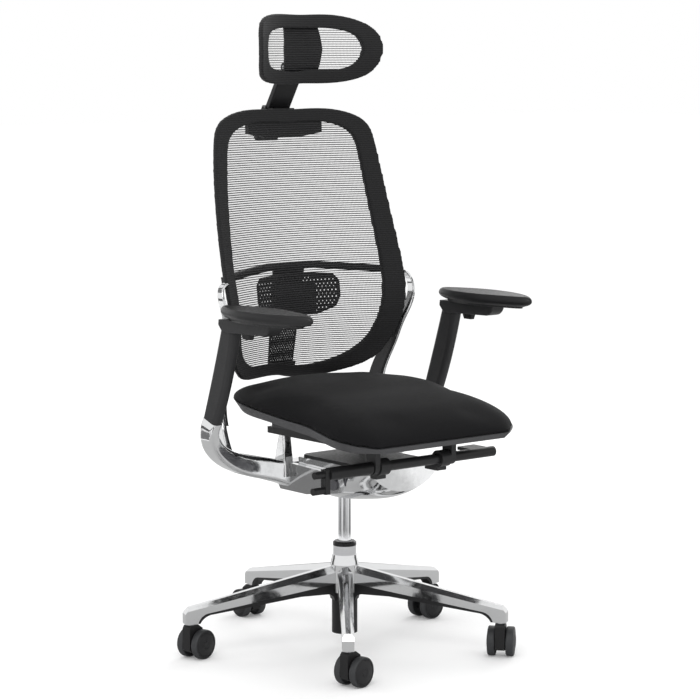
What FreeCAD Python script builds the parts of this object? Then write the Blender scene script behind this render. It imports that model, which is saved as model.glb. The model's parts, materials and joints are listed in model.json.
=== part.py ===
"""Swivel office chair: five-legged base, gas lift, synchronous tilt, mesh back, headrest, arms.

Frame: millimetres, +Z up, origin on the floor under the lift. The sitter faces -Y.
"""
import FreeCAD, Part
import math
import os
import Sketcher

V = FreeCAD.Vector

# Driving dimensions, in millimetres and degrees. Each one is a cell of the sheet "Sizes".
SIZES = {
    # five-legged base
    "base_reach": 350, "base_heading": -37.9, "leg_half_root": 17, "leg_half_tip": 12.3,
    "leg_ridge_root": 189, "leg_ridge_tip": 112, "leg_shoulder_root": 174, "leg_shoulder_tip": 105,
    "leg_belly_root": 148, "leg_belly_tip": 100, "leg_foot_low": 78, "leg_foot_depth": 28,
    "leg_overhang": 14, "hub_radius": 31, "hub_top_radius": 26.5, "hub_top": 206, "hub_low": 124,
    "under_depth": 22, "under_tip_depth": 5, "under_side": 1.5, "socket_low": 33, "socket_wall": 3,
    # casters
    "wheel_radius": 32, "wheel_tread": 17, "wheel_dome": 3, "wheel_inner": 11.5, "trail": 18,
    "caster_axle": 4, "fork_width": 21, "fork_top": 75, "stem_radius": 5.5, "stem_up": 28,
    "stem_collar": 9, "running_gap": 0.05,
    # gas lift
    "tube_radius": 25, "tube_bore": 20, "tube_top": 226, "tube_floor": 5, "ring_top": 236,
    "column_radius": 14, "column_bore": 11, "column_low": 140, "column_top": 362,
    "lift_rod_radius": 5, "piston_z": 172,
    # tilt mechanism
    "housing_half": 92, "housing_front": -204, "housing_back": 45, "housing_top": 425,
    "housing_low": 332, "cover_thick": 6, "tilt_y": -95, "tilt_z": 385, "tilt_axle_radius": 8,
    "bar_y": -224, "bar_z": 438, "bar_radius": 11, "bar_core": 8, "bar_half": 224,
    "clamp_x": 84, "clamp_radius": 18, "clamp_width": 26, "sleeve_radius": 13.5, "sleeve_start": 114,
    "knob_radius": 7.5, "crank_drop": 33, "paddle_width": 48, "paddle_reach": 56,
    # seat
    "rail_x": 110, "rail_width": 24, "rail_low": 472, "rail_thick": 14, "rail_front": -246,
    "rail_back": 116, "seat_half": 240, "seat_front": -332, "seat_back": 195, "pan_depth": 22, "pan_taper": 18,
    "cushion_edge_front": 497, "cushion_edge_back": 550, "cushion_thick": 44, "slide_gap": 0.3,
    "strut_y": 70,
    # yoke and uprights
    "cheek_thick": 13, "cheek_gap": 1, "beam_front": 58, "beam_depth": 44, "beam_low": 350,
    "beam_top": 412, "arm_x": 306, "yoke_y": 84, "blade_x": 262, "blade_low_x": 224, "blade_back": 158,
    "blade_top": 806, "blade_near": 84, "liner_thick": 4, "liner_gap": 0.7,
    # arms
    "post_lean": 19.5, "post_deep": 46, "post_thick": 26, "post_foot_y": 64, "post_foot_z": 522,
    "post_length": 214, "stem_deep": 28, "stem_thick": 12, "arm_top": 743, "bracket_front": -157,
    "bracket_thick": 27, "pad_front": -263, "pad_back": 30, "pad_half": 47, "pad_thick": 27,
    "button_y": -61, "button_half_wide": 8, "button_half_long": 15, "button_travel": 3,
    # back
    "back_low": 575, "back_top": 1168, "back_half": 247, "rail_face": 42, "frame_thick": 14,
    "mesh_thick": 2, "mesh_set": 5, "back_y_low": 225, "back_y_waist": 155, "back_y_top": 200,
    "waist_z": 750, "lumbar_z": 812, "lumbar_set": 9, "lumbar_thick": 3, "lumbar_half": 115,
    "spine_half_low": 34, "spine_half_high": 44,
    # headrest
    "neck_y": 205, "neck_z": 1220, "neck_lean": 32, "neck_half": 30, "neck_thick": 14,
    "neck_down": 140, "neck_up": 48, "head_half": 166, "head_low": 1225, "head_top": 1374,
    "head_y": 150, "head_wrap": 66, "head_bulge": 20, "head_thick": 16, "head_face": 34, "pin_radius": 4,
}

CASTER_HEADINGS = [10.8, 40.8, 183.8, 88.0, 12.8]
LEGS = len(CASTER_HEADINGS)

doc = FreeCAD.newDocument("office_chair")
sheet = doc.addObject("Spreadsheet::Sheet", "Sizes")
for row, (alias, number) in enumerate(SIZES.items(), start=1):
    sheet.set("A%d" % row, alias)
    sheet.set("B%d" % row, str(number))
    sheet.setAlias("B%d" % row, alias)
doc.recompute()


class Size:
    """A number together with the sheet formula that gives it."""

    def __init__(self, value, text):
        self.value = float(value)
        self.text = text

    def __add__(self, other):
        other = size(other)
        return Size(self.value + other.value, "(%s + %s)" % (self.text, other.text))

    def __sub__(self, other):
        other = size(other)
        return Size(self.value - other.value, "(%s - %s)" % (self.text, other.text))

    def __mul__(self, other):
        other = size(other)
        return Size(self.value * other.value, "(%s * %s)" % (self.text, other.text))

    def __truediv__(self, other):
        other = size(other)
        return Size(self.value / other.value, "(%s / %s)" % (self.text, other.text))

    def __neg__(self):
        return Size(-self.value, "(0 - %s)" % self.text)

    def __float__(self):
        return self.value


def size(thing):
    """A Size, from a Size or a plain number."""
    return thing if isinstance(thing, Size) else Size(thing, repr(float(thing)))


class Sheet:
    """Every cell of the sheet as an attribute."""


d = Sheet()
for alias in SIZES:
    setattr(d, alias, Size(sheet.get(alias), "Sizes.%s" % alias))

parts = {}


def keep(name, obj):
    """Name a finished sub-part, which also names its node."""
    obj.Label = name
    parts[name] = obj
    return obj


def bind(obj, **sizes):
    """Tie properties of an object to the sheet."""
    for prop, amount in sizes.items():
        obj.setExpression(prop, size(amount).text)
    return obj


def spot(x=0, y=0, z=0, turn=None):
    """A placement from plain numbers or Sizes, with an optional rotation."""
    return FreeCAD.Placement(V(float(x), float(y), float(z)), turn or FreeCAD.Rotation())


def tied(obj, x=0, y=0, z=0, turn=None):
    """Place an object and tie its position to the sheet."""
    obj.Placement = spot(x, y, z, turn)
    for axis, amount in zip("xyz", (x, y, z)):
        obj.setExpression("Placement.Base.%s" % axis, size(amount).text)
    return obj


# ---------------------------------------------------------------- sketched bodies


def draw(body, plane, points, lift=None):
    """A closed outline of straight lines on one of the body's planes, every corner on the sheet."""
    sketch = body.newObject("Sketcher::SketchObject", body.Name + "_outline")
    origin = [item for item in body.Origin.OriginFeatures if item.Role == plane]
    sketch.AttachmentSupport = (origin[0], [""])
    sketch.MapMode = "FlatFace"
    if lift is not None:
        sketch.setExpression("AttachmentOffset.Base.z", size(lift).text)
    count = len(points)
    corners = [V(float(x), float(y), 0) for x, y in points]
    for index in range(count):
        sketch.addGeometry(Part.LineSegment(corners[index], corners[(index + 1) % count]))
    for index in range(count):
        sketch.addConstraint(Sketcher.Constraint("Coincident", index, 2, (index + 1) % count, 1))
    for index, point in enumerate(points):
        for kind, axis, amount in (("DistanceX", -2, point[0]), ("DistanceY", -1, point[1])):
            amount = size(amount)
            if abs(amount.value) < 1e-9:
                sketch.addConstraint(Sketcher.Constraint("PointOnObject", index, 1, axis))
                continue
            if amount.value > 0:
                ends, amount = (-1, 1, index, 1), amount
            else:
                ends, amount = (index, 1, -1, 1), -amount
            number = sketch.addConstraint(Sketcher.Constraint(kind, *ends, amount.value))
            sketch.setExpression("Constraints[%d]" % number, amount.text)
    return sketch


def turned(name, points, axis="V_Axis"):
    """A body of revolution from a half outline of (radius, height) corners."""
    body = doc.addObject("PartDesign::Body", name)
    sketch = draw(body, "XZ_Plane", points)
    revolution = body.newObject("PartDesign::Revolution", name + "_turn")
    revolution.Profile = sketch
    revolution.ReferenceAxis = (sketch, [axis])
    revolution.Angle = 360
    sketch.Visibility = False
    return body


def padded(name, plane, points, thickness, middle=True, lift=None):
    """A body padded from an outline, both ways from its plane or upward from it."""
    body = doc.addObject("PartDesign::Body", name)
    sketch = draw(body, plane, points, lift)
    pad = body.newObject("PartDesign::Pad", name + "_pad")
    pad.Profile = sketch
    pad.Midplane = middle
    bind(pad, Length=thickness)
    sketch.Visibility = False
    return body


def rod(name, radius, length, x=0, y=0, z=0, axis="z"):
    """A plain cylinder along one axis, starting at a point."""
    turn = {"z": None, "x": FreeCAD.Rotation(V(0, 1, 0), 90),
            "y": FreeCAD.Rotation(V(1, 0, 0), -90)}[axis]
    cylinder = doc.addObject("Part::Cylinder", name)
    bind(cylinder, Radius=radius, Height=length)
    return tied(cylinder, x, y, z, turn)


def block(name, low, high):
    """A plain box between two corners."""
    box = doc.addObject("Part::Box", name)
    bind(box, Length=size(high[0]) - low[0], Width=size(high[1]) - low[1],
         Height=size(high[2]) - low[2])
    return tied(box, *low)


def cut(name, base, tool):
    """One object less another."""
    result = doc.addObject("Part::Cut", name)
    result.Base = base
    result.Tool = tool
    return result


def fused(name, shapes):
    """Several objects made one piece."""
    result = doc.addObject("Part::MultiFuse", name)
    result.Shapes = shapes
    result.Refine = True
    return result


def group(name, items):
    """Separate solids that share one node."""
    result = doc.addObject("Part::Compound", name)
    result.Links = items
    return result


def feature(name, shape):
    """A free-form piece from a shape already in place."""
    result = doc.addObject("Part::Feature", name)
    result.Shape = shape
    return result


# ---------------------------------------------------------------- free-form helpers


def polygon(points):
    """A flat face from corner points in space."""
    return Part.Face(Part.makePolygon(points + points[:1]))


def rounded(center, across, up, half_across, half_up, corner):
    """A rounded rectangle wire, given by its centre, two directions and half sizes."""
    across = V(across).normalize()
    up = V(up).normalize()

    def point(a, b):
        return center + across * a + up * b

    edges = []
    wide, tall = half_across - corner, half_up - corner
    inner = corner * (1 - math.sqrt(0.5))
    for sa, sb in ((1, 1), (-1, 1), (-1, -1), (1, -1)):
        mid = point(sa * (half_across - inner), sb * (half_up - inner))
        side = point(sa * half_across, sb * tall)
        end = point(sa * wide, sb * half_up)
        first, last = (side, end) if sa * sb > 0 else (end, side)
        if edges:
            edges.append(Part.LineSegment(edges[-1].Vertexes[-1].Point, first).toShape())
        edges.append(Part.Arc(first, mid, last).toShape())
    edges.append(Part.LineSegment(edges[-1].Vertexes[-1].Point, edges[0].Vertexes[0].Point).toShape())
    return Part.Wire(edges)


def skin(wires, ruled=False):
    """A solid lofted through closed wires."""
    return Part.makeLoft(wires, True, ruled)


def mirrored(shape):
    """The same piece on the other side of the chair."""
    return shape.mirror(V(0, 0, 0), V(1, 0, 0))


def around(shape, angle):
    """A copy turned about the lift."""
    copy = shape.copy()
    copy.rotate(V(0, 0, 0), V(0, 0, 1), angle)
    return copy


def leg_angle(index):
    """Turn that carries a leg drawn along -Y to its own heading."""
    return d.base_heading.value + index * 360.0 / LEGS


# ---------------------------------------------------------------- base


def leg_envelope(half_root, half_tip, ridge_root, ridge_tip, shoulder_root, shoulder_tip):
    """Tapering roof-shaped prism that gives a leg its plan and its faceted top."""
    reach = d.base_reach.value + d.leg_overhang.value
    wires = []
    for along, half, ridge, shoulder in ((0, half_root, ridge_root, shoulder_root),
                                         (reach, half_tip, ridge_tip, shoulder_tip)):
        crest = half * 0.42
        wires.append(Part.makePolygon([V(x, -along, z) for x, z in (
            (-half, 0), (-half, shoulder), (-crest, ridge), (crest, ridge),
            (half, shoulder), (half, 0), (-half, 0))]))
    return skin(wires, True)


def belly(along):
    """Height of the underside of the aluminium leg at a distance from the lift."""
    run = d.base_reach.value - d.leg_foot_depth.value / 2 - 24
    share = along / run
    return d.leg_belly_root.value + (d.leg_belly_tip.value - d.leg_belly_root.value) * share


def side_profile(outline):
    """An outline in the leg's own length and height, as a slab across the leg."""
    width = 4 * d.leg_half_root.value
    edges = [edge.toShape() for edge in outline]
    face = Part.Face(Part.Wire(edges))
    face.translate(V(-width / 2, 0, 0))
    return face.extrude(V(width, 0, 0))


def at(along, height):
    """A point in the middle plane of the leg that is drawn along -Y."""
    return V(0, -along, height)


def leg_lines():
    """Places on the leg that the aluminium and the under-frame share."""
    tip = d.base_reach.value + d.leg_overhang.value
    heel = d.base_reach.value - d.leg_foot_depth.value / 2
    bend = heel - 24
    return tip, heel, bend


def make_star_base():
    tip, heel, bend = leg_lines()
    low = d.leg_foot_low.value
    sky = d.leg_ridge_root.value + 5
    arch = Part.Arc(at(heel, low), at(heel - 6, low + 12), at(bend, belly(bend)))
    outline = [Part.LineSegment(at(0, sky), at(tip, sky)),
               Part.LineSegment(at(tip, sky), at(tip, low)),
               Part.LineSegment(at(tip, low), at(heel, low)),
               arch,
               Part.LineSegment(at(bend, belly(bend)), at(0, belly(0))),
               Part.LineSegment(at(0, belly(0)), at(0, sky))]
    leg = side_profile(outline).common(leg_envelope(
        d.leg_half_root.value, d.leg_half_tip.value, d.leg_ridge_root.value,
        d.leg_ridge_tip.value, d.leg_shoulder_root.value, d.leg_shoulder_tip.value))
    nose = polygon([V(-40, -tip, sky), V(-40, -tip, d.leg_ridge_tip.value - 12),
                    V(-40, -tip + 9, d.leg_ridge_tip.value + 1), V(-40, -tip + 9, sky)])
    leg = leg.cut(nose.extrude(V(80, 0, 0)))
    stem_hole = Part.makeCylinder(d.stem_radius.value, d.stem_up.value + 1,
                                  V(0, -d.base_reach.value, low - 1))
    leg = leg.cut(stem_hole)
    hub_low = d.hub_low.value
    hub = Part.makeCylinder(d.hub_radius.value, d.leg_ridge_root.value - 4 - hub_low, V(0, 0, hub_low))
    cone = Part.makeCone(d.hub_radius.value, d.hub_top_radius.value,
                         d.hub_top.value - d.leg_ridge_root.value + 4,
                         V(0, 0, d.leg_ridge_root.value - 4))
    star = hub.multiFuse([cone] + [around(leg, leg_angle(k)) for k in range(LEGS)])
    bore = Part.makeCylinder(d.tube_radius.value, 400, V(0, 0, 0))
    return star.cut(bore).removeSplitter()


def make_base_underframe(star):
    tip, heel, bend = leg_lines()
    low = d.leg_foot_low.value
    deep, thin = d.under_depth.value, d.under_tip_depth.value
    root = 30.0
    waist = d.base_reach.value * 0.3
    socket = d.tube_radius.value + d.socket_wall.value
    corner = root + 14
    lower = belly(root) - deep
    outline = [Part.LineSegment(at(0, belly(0)), at(bend, belly(bend))),
               Part.Arc(at(bend, belly(bend)), at(heel - 6, low + 12), at(heel, low)),
               Part.LineSegment(at(heel, low), at(heel - thin, low)),
               Part.Arc(at(heel - thin, low), at(heel - thin - 7, low + 9),
                        at(bend - 4, belly(bend - 4) - thin)),
               Part.LineSegment(at(bend - 4, belly(bend - 4) - thin), at(waist, lower - 1)),
               Part.LineSegment(at(waist, lower - 1), at(corner, lower)),
               Part.Arc(at(corner, lower), at(socket + 4.5, lower - 4.5), at(socket, lower - 15)),
               Part.LineSegment(at(socket, lower - 15), at(0, lower - 15)),
               Part.LineSegment(at(0, lower - 15), at(0, belly(0)))]
    side = d.under_side.value
    arm = side_profile(outline).common(leg_envelope(
        d.leg_half_root.value - side, d.leg_half_tip.value - side, 300, 300, 300, 300))
    socket_low = d.socket_low.value
    tube = Part.makeCylinder(socket, d.hub_low.value - socket_low, V(0, 0, socket_low))
    frame = tube.multiFuse([around(arm, leg_angle(k)) for k in range(LEGS)])
    bore = Part.makeCylinder(d.tube_radius.value, 400, V(0, 0, 0))
    return frame.cut(bore).cut(star).removeSplitter()


def build_base():
    star = make_star_base()
    keep("star_base", feature("star_base", star))
    keep("base_underframe", feature("base_underframe", make_base_underframe(star)))
    stems = []
    for index in range(LEGS):
        stem = turned("stem_%d" % (index + 1), [
            (0, d.fork_top - 22), (d.stem_radius, d.fork_top - 22),
            (d.stem_radius, d.fork_top + 0.4), (d.stem_collar, d.fork_top + 0.4),
            (d.stem_collar, d.leg_foot_low), (d.stem_radius, d.leg_foot_low),
            (d.stem_radius, d.leg_foot_low + d.stem_up), (0, d.leg_foot_low + d.stem_up)])
        stem.Placement = caster_spot(index)
        stems.append(stem)
    keep("caster_stems", group("caster_stems", stems))


# ---------------------------------------------------------------- casters


def caster_spot(index):
    """Where a caster's stem meets the floor, turned to the caster's own heading."""
    bearing = math.radians(leg_angle(index))
    reach = d.base_reach.value
    turn = FreeCAD.Rotation(V(0, 0, 1), CASTER_HEADINGS[index])
    return FreeCAD.Placement(V(reach * math.sin(bearing), -reach * math.cos(bearing), 0), turn)


def build_caster(index):
    number = index + 1
    frame = caster_spot(index)
    axle_up = d.wheel_radius
    fork = padded("fork_%d" % number, "XZ_Plane", [
        (-14, 22), (-14, d.fork_top - 6), (-9, d.fork_top), (13, d.fork_top),
        (d.trail + 8, d.fork_top - 9), (d.trail + 18, axle_up + 12), (d.trail + 14, axle_up - 10),
        (d.trail + 4, 19), (-6, 16)], d.fork_width)
    stem_hole = rod("fork_stem_hole_%d" % number, d.stem_radius + d.running_gap, 30,
                    z=d.fork_top - 22.5)
    axle_hole = rod("fork_axle_hole_%d" % number, d.caster_axle, 40, d.trail, -20, axle_up, "y")
    hood = cut("hood_%d" % number, fork, fused("fork_holes_%d" % number, [stem_hole, axle_hole]))
    hood.Placement = frame
    keep("caster_%d_fork" % number, hood)
    axle_half = d.wheel_inner + d.wheel_tread - 4
    axle = turned("axle_%d" % number, [(0, -axle_half), (d.caster_axle, -axle_half),
                                       (d.caster_axle, axle_half), (0, axle_half)])
    over = FreeCAD.Placement(V(d.trail.value, 0, axle_up.value), FreeCAD.Rotation(V(1, 0, 0), -90))
    axle.Placement = frame.multiply(over)
    keep("caster_%d_axle" % number, axle)
    outer = d.wheel_inner + d.wheel_tread
    rim = d.wheel_radius
    profile = [(d.caster_axle + d.running_gap, d.wheel_inner), (rim - 7, d.wheel_inner),
               (rim - 1.5, d.wheel_inner + 1.5), (rim, d.wheel_inner + 4), (rim, outer - 5),
               (rim - 1.5, outer - 1.5), (rim - 5, outer), (rim - 8, outer + 1),
               (rim * 0.4, outer + d.wheel_dome), (0, outer + d.wheel_dome),
               (0, axle_half + 0.5), (d.caster_axle + d.running_gap, axle_half + 0.5)]
    for side, tilt in (("left", -90), ("right", 90)):
        wheel = turned("wheel_%d_%s" % (number, side), profile)
        seat = FreeCAD.Placement(V(d.trail.value, 0, axle_up.value), FreeCAD.Rotation(V(1, 0, 0), tilt))
        wheel.Placement = frame.multiply(seat)
        keep("caster_%d_wheel_%s" % (number, side), wheel)


# ---------------------------------------------------------------- gas lift


def build_lift():
    gap = d.running_gap
    low = d.socket_low
    keep("lift_outer_tube", turned("lift_outer_tube", [
        (0, low), (d.tube_radius, low), (d.tube_radius, d.tube_top), (d.tube_bore, d.tube_top),
        (d.tube_bore, low + d.tube_floor), (0, low + d.tube_floor)]))
    keep("lift_top_ring", turned("lift_top_ring", [
        (d.column_radius + gap, d.tube_top - 36), (d.tube_bore, d.tube_top - 36),
        (d.tube_bore, d.tube_top), (d.tube_radius + 0.6, d.tube_top),
        (d.tube_radius + 0.6, d.ring_top - 3), (d.tube_radius - 3, d.ring_top),
        (d.column_radius + gap, d.ring_top)]))
    floor = low + d.tube_floor
    race = floor + 8
    keep("lift_bearing", turned("lift_bearing", [
        (d.lift_rod_radius + gap, floor), (d.column_radius, floor), (d.column_radius, race),
        (d.lift_rod_radius + gap, race)]))
    foot = race + 0.3
    keep("lift_rod", turned("lift_rod", [
        (0, floor + 1), (d.lift_rod_radius, floor + 1), (d.lift_rod_radius, foot),
        (d.lift_rod_radius + 4, foot), (d.lift_rod_radius + 4, foot + 4),
        (d.lift_rod_radius, foot + 4), (d.lift_rod_radius, d.piston_z),
        (d.column_bore - gap, d.piston_z), (d.column_bore - gap, d.piston_z + 12), (0, d.piston_z + 12)]))
    keep("lift_column", turned("lift_column", [
        (d.lift_rod_radius + gap, d.column_low), (d.column_radius, d.column_low),
        (d.column_radius, d.column_top), (0, d.column_top), (0, d.column_top - 20),
        (d.column_bore, d.column_top - 20), (d.column_bore, d.column_low + 12),
        (d.lift_rod_radius + gap, d.column_low + 12)]))


# ---------------------------------------------------------------- tilt mechanism


def bowl_section(y, half, shoulder, low):
    """One cross-section of the polished housing: upright sides and a round belly."""
    top = d.housing_top.value
    a, b = V(-half, y, top), V(-half, y, shoulder)
    c, e = V(half, y, shoulder), V(half, y, top)
    return Part.Wire([Part.LineSegment(a, b).toShape(), Part.Arc(b, V(0, y, low), c).toShape(),
                      Part.LineSegment(c, e).toShape(), Part.LineSegment(e, a).toShape()])


def make_housing():
    half, low = d.housing_half.value, d.housing_low.value
    front, back = d.housing_front.value, d.housing_back.value
    middle = d.tilt_y.value
    body = skin([bowl_section(front, half, low + 84, low + 42),
                 bowl_section((front + middle) / 2, half, low + 77, low + 20),
                 bowl_section(middle / 2, half, low + 66, low + 3),
                 bowl_section(0, half, low + 63, low),
                 bowl_section(back, half, low + 63, low + 8)])
    pocket = Part.makeBox(124, 50, 60, V(-62, middle - 25, d.tilt_z.value - 18))
    socket = Part.makeCylinder(d.column_radius.value, d.column_top.value - low + 4, V(0, 0, low - 4))
    axle = Part.makeCylinder(d.tilt_axle_radius.value, 4 * half,
                             V(-2 * half, middle, d.tilt_z.value), V(1, 0, 0))
    return body.cut(pocket).cut(socket).cut(axle)


def build_mechanism():
    keep("mech_housing", feature("mech_housing", make_housing()))
    half = d.housing_half
    keep("mech_cover", padded("mech_cover", "XY_Plane", [
        (-(half - 4), d.housing_front + 6), (half - 4, d.housing_front + 6),
        (half - 4, d.housing_back - 14), (half - 18, d.housing_back - 4),
        (-(half - 18), d.housing_back - 4), (-(half - 4), d.housing_back - 14)],
        d.cover_thick, middle=False, lift=d.housing_top))
    reach = half + d.cheek_gap + d.cheek_thick + 0.5
    head = reach + 4
    axle = turned("tilt_axle", [
        (0, -head), (d.tilt_axle_radius + 5, -head), (d.tilt_axle_radius + 5, -reach),
        (d.tilt_axle_radius, -reach), (d.tilt_axle_radius, reach), (d.tilt_axle_radius + 5, reach),
        (d.tilt_axle_radius + 5, head), (0, head)])
    tied(axle, 0, d.tilt_y, d.tilt_z, FreeCAD.Rotation(V(0, 1, 0), 90))
    keep("tilt_axle", axle)
    keep("tilt_springs", feature("tilt_springs", make_springs()))
    core = turned("front_bar", [
        (0, -d.bar_half), (d.bar_core, -d.bar_half), (d.bar_core, -(d.clamp_x + 13)),
        (d.bar_radius, -(d.clamp_x + 13)), (d.bar_radius, d.clamp_x + 13),
        (d.bar_core, d.clamp_x + 13), (d.bar_core, d.bar_half), (0, d.bar_half)])
    tied(core, 0, d.bar_y, d.bar_z, FreeCAD.Rotation(V(0, 1, 0), 90))
    keep("front_bar", core)
    clamps = []
    for number, side in ((1, -1), (2, 1)):
        start = d.clamp_x * side - d.clamp_width / 2
        ring = rod("clamp_ring_%d" % number, d.clamp_radius, d.clamp_width, start, d.bar_y, d.bar_z, "x")
        lug = block("clamp_lug_%d" % number, (start, d.bar_y, d.bar_z - 26),
                    (start + d.clamp_width, d.housing_front, d.bar_z + 2))
        hole = rod("clamp_hole_%d" % number, d.bar_radius, d.clamp_width + 20, start - 10,
                   d.bar_y, d.bar_z, "x")
        clamps.append(cut("clamp_%d" % number, fused("clamp_body_%d" % number, [ring, lug]), hole))
    keep("bar_clamps", group("bar_clamps", clamps))


def make_springs():
    """Two torsion coils wound about the tilt axle, one each side of the middle."""
    wire, coil, length, pitch = 1.6, 10.2, 42.0, 7.0
    helix = Part.makeHelix(pitch, length, coil)
    start = Part.Wire([Part.Circle(V(coil, 0, 0), V(0, 1, 0), wire).toShape()])
    spring = Part.Wire(helix).makePipeShell([start], True, True)
    spring.rotate(V(0, 0, 0), V(0, 1, 0), 90)
    springs = []
    for offset in (-12 - length, 12):
        copy = spring.copy()
        copy.translate(V(offset, d.tilt_y.value, d.tilt_z.value))
        springs.append(copy)
    return Part.makeCompound(springs)


def build_levers():
    bore = d.bar_core + d.running_gap
    start, end = d.sleeve_start, d.bar_half + 2
    sleeve = rod("left_sleeve", d.sleeve_radius, end - start, -end, d.bar_y, d.bar_z, "x")
    crank = block("left_crank", (-(end + 12), d.bar_y - 8, d.bar_z - d.crank_drop - 8),
                  (-end, d.bar_y + 8, d.bar_z + 10))
    upper = rod("upper_knob", d.knob_radius, 24, -(end + 36), d.bar_y, d.bar_z, "x")
    lower = rod("lower_knob", d.knob_radius, 28, -(end + 40), d.bar_y, d.bar_z - d.crank_drop, "x")
    solid = fused("left_lever_body", [sleeve, crank, upper, lower])
    hole = rod("left_hole", bore, end - start + 2, -(end + 1), d.bar_y, d.bar_z, "x")
    keep("height_lever", cut("height_lever", solid, hole))
    tube = rod("right_tube", d.bar_radius, end - start, start, d.bar_y, d.bar_z, "x")
    paddle = block("right_paddle", (end - d.paddle_width, d.bar_y, d.bar_z + 1),
                   (end, d.bar_y + d.paddle_reach, d.bar_z + 8))
    cap = rod("right_cap", d.bar_radius, 5, end, d.bar_y, d.bar_z, "x")
    solid = fused("right_lever_body", [tube, paddle, cap])
    hole = rod("right_hole", bore, end - start + 1, start - 1, d.bar_y, d.bar_z, "x")
    keep("depth_lever", cut("depth_lever", solid, hole))


# ---------------------------------------------------------------- seat


def edge_height(share):
    """Height of the cushion's lower edge from front (0) to back (1), with a falling front."""
    front, back = d.cushion_edge_front.value, d.cushion_edge_back.value
    return front + (back - front) * (1 - (1 - share) ** 2.2)


def seat_half(share):
    """Half width of the seat: broad, with round front corners and a narrower back."""
    back = max(0.0, share - 0.55) / 0.45
    front = max(0.0, 0.16 - share) / 0.16
    return d.seat_half.value * (1 - 0.36 * back ** 2.6) * (1 - 0.24 * front ** 2.2)


SEAT_SHARES = (0.0, 0.03, 0.09, 0.2, 0.42, 0.7, 0.9, 0.97, 1.0)


def seat_y(share):
    return d.seat_front.value + share * (d.seat_back.value - d.seat_front.value)


def crown_height(share):
    """Thickness of the cushion's middle: it rolls off at the front and back."""
    end = min(1.0, share / 0.2, (1 - share) / 0.16)
    return d.cushion_thick.value * (1 - 0.2 * share) * (0.3 + 0.7 * math.sqrt(1 - (1 - end) ** 2))


def crowned_section(share):
    """A cushion section with a flat floor and a crown that rolls down to thin edges."""
    y, low, half, rise = seat_y(share), edge_height(share), seat_half(share), crown_height(share)
    right = [V(half * x, y, low + rise * z) for x, z in ((1, 0), (0.985, 0.3), (0.93, 0.62), (0.76, 0.88))]
    left = [V(-point.x, point.y, point.z) for point in reversed(right)]
    crown = Part.BSplineCurve()
    crown.interpolate(right + [V(half * 0.4, y, low + rise), V(-half * 0.4, y, low + rise)] + left)
    return Part.Wire([crown.toShape(), Part.LineSegment(left[-1], right[0]).toShape()])


def make_cushion():
    return skin([crowned_section(share) for share in SEAT_SHARES])


def make_pan():
    """Tapered shell under the cushion, with a runner over each rail."""
    wires = []
    gap = d.slide_gap.value
    for share in SEAT_SHARES:
        y, high, half = seat_y(share), edge_height(share) - gap, seat_half(share)
        depth = d.pan_depth.value * min(1.0, 0.45 + 4 * min(share, 1 - share))
        wires.append(polygon([V(-half + 2, y, high), V(half - 2, y, high),
                              V(half - d.pan_taper.value, y, high - depth),
                              V(-half + d.pan_taper.value, y, high - depth)]))
    shell = skin(wires)
    rail_top = d.rail_low.value + d.rail_thick.value + gap
    half = d.rail_width.value / 2
    runners = []
    for side in (-1, 1):
        runner = Part.makeBox(2 * half, 230, 40, V(side * d.rail_x.value - half, -130, rail_top))
        runners.append(runner)
    lid = Part.makeBox(800, 800, 200, V(-400, -400, d.cushion_edge_back.value - 12))
    runners = [runner.cut(lid) for runner in runners]
    pan = shell.multiFuse(runners)
    return pan.cut(make_cushion()).removeSplitter()


def build_seat():
    half = d.rail_width / 2
    top = d.rail_low + d.rail_thick
    pieces = []
    for number, side in ((1, -1), (2, 1)):
        middle = d.rail_x * side
        pieces.append(block("rail_%d" % number, (middle - half, d.rail_front, d.rail_low),
                            (middle + half, d.rail_back, top)))
        ear_x = d.rail_x * side - 6.5 - 5 * side
        pieces.append(block("ear_%d" % number, (ear_x, d.bar_y - 15, d.bar_z),
                            (ear_x + 13, d.bar_y + 15, d.rail_low + 1)))
        pieces.append(rod("ear_eye_%d" % number, 15, 13, ear_x, d.bar_y, d.bar_z, "x"))
    pieces.append(block("rail_tie", (-d.rail_x, d.rail_back - 44, d.rail_low + 2),
                        (d.rail_x, d.rail_back - 14, top - 2)))
    pieces.append(block("rail_tie_front", (-d.rail_x, d.bar_y + 40, d.rail_low + 2),
                        (d.rail_x, d.bar_y + 66, top - 2)))
    hole = rod("ear_hole", d.bar_core + d.running_gap, d.bar_half * 2, -d.bar_half, d.bar_y, d.bar_z, "x")
    keep("seat_frame", cut("seat_frame", fused("seat_frame_body", pieces), hole))
    keep("seat_pan", feature("seat_pan", make_pan()))
    keep("seat_cushion", feature("seat_cushion", make_cushion()))


# ---------------------------------------------------------------- yoke and uprights


def lean():
    """Direction of the arm posts, up and forward."""
    angle = math.radians(d.post_lean.value)
    return V(0, -math.sin(angle), math.cos(angle))


def post_point(along):
    """A point on the right arm post's axis, at a distance from its foot."""
    return V(d.arm_x.value, d.post_foot_y.value, d.post_foot_z.value) + lean() * along


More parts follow.
